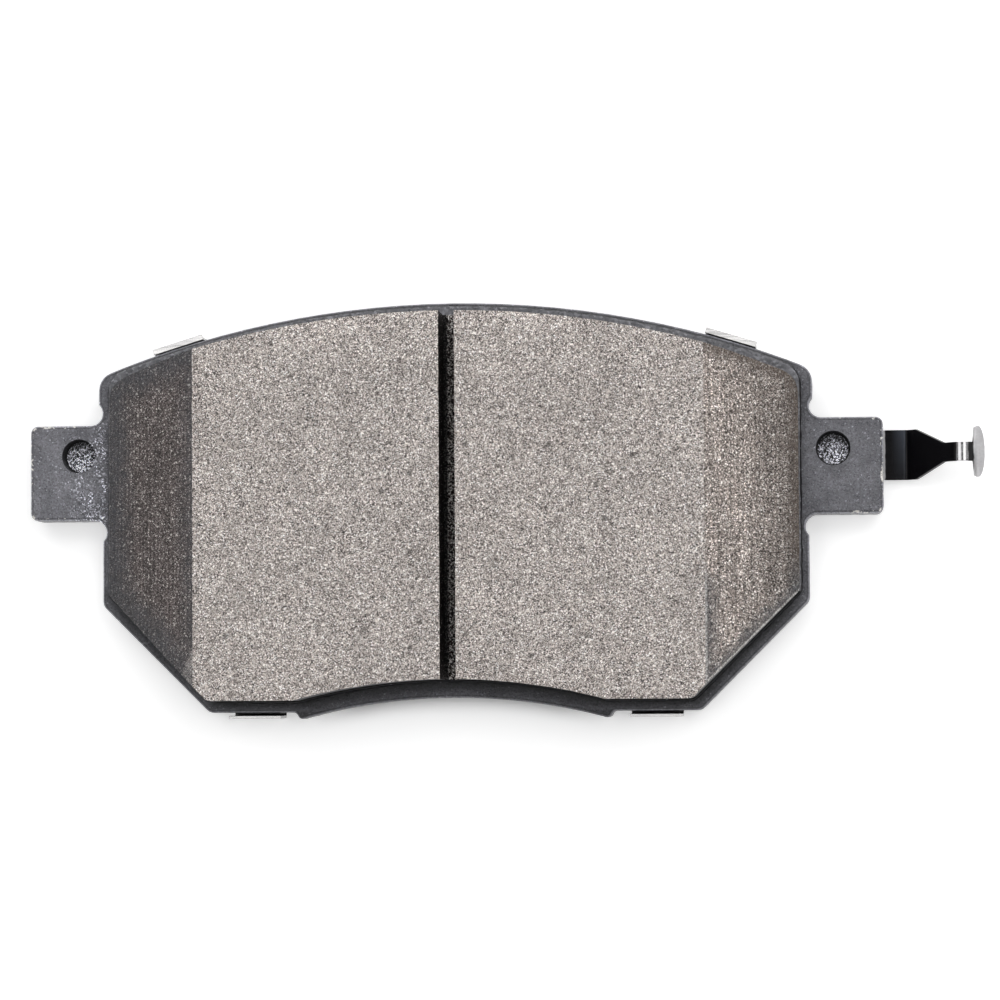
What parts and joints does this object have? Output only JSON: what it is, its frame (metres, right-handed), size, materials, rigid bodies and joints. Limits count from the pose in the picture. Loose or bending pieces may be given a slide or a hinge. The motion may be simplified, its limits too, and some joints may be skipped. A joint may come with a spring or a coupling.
{
  "type": "disc brake pad",
  "caption": "Front disc brake pad: painted steel backing plate with ears, chamfered and slotted friction lining, clip-on shim and spring-steel wear indicator.",
  "frame": {"origin": "on the outer shim's flat back, on the pad's symmetry line, level with the middle of the ears", "axes": "X from ear to ear with the wear indicator at +X, +Y away from the disc's axle, +Z the friction face's normal"},
  "size_m": [0.1565, 0.068, 0.0183],
  "materials": {
    "painted_plate": "satin black paint",
    "underlayer_mix": "moulded, dull",
    "friction_mix": "ground, speckled",
    "coated_shim": "matt rubber coat",
    "stainless_shim": "bright rolled",
    "spring_steel": "blued, glossy"
  },
  "bodies": {
    "clip_shim": {"outer_shim": "stainless_shim"},
    "pad": {"backing_plate": "painted_plate", "underlayer": "underlayer_mix", "friction_block_left": "friction_mix", "friction_block_right": "friction_mix", "inner_shim": "coated_shim"},
    "indicator": {"wear_indicator": "spring_steel"}
  },
  "joints": [
    {"name": "shim_clip", "type": "slide", "parent": "clip_shim", "child": "pad", "axis": [0, 0, 1], "range_m": [0, 0.03]},
    {"name": "indicator_flex", "type": "hinge", "parent": "pad", "child": "indicator", "pos_m": [0.0701, 0.0019, 0.00125], "axis": [0, 1, 0], "range_deg": [0, 5], "stiffness_Nm_per_rad": 8.6, "deforming": ["wear_indicator"]}
  ]
}
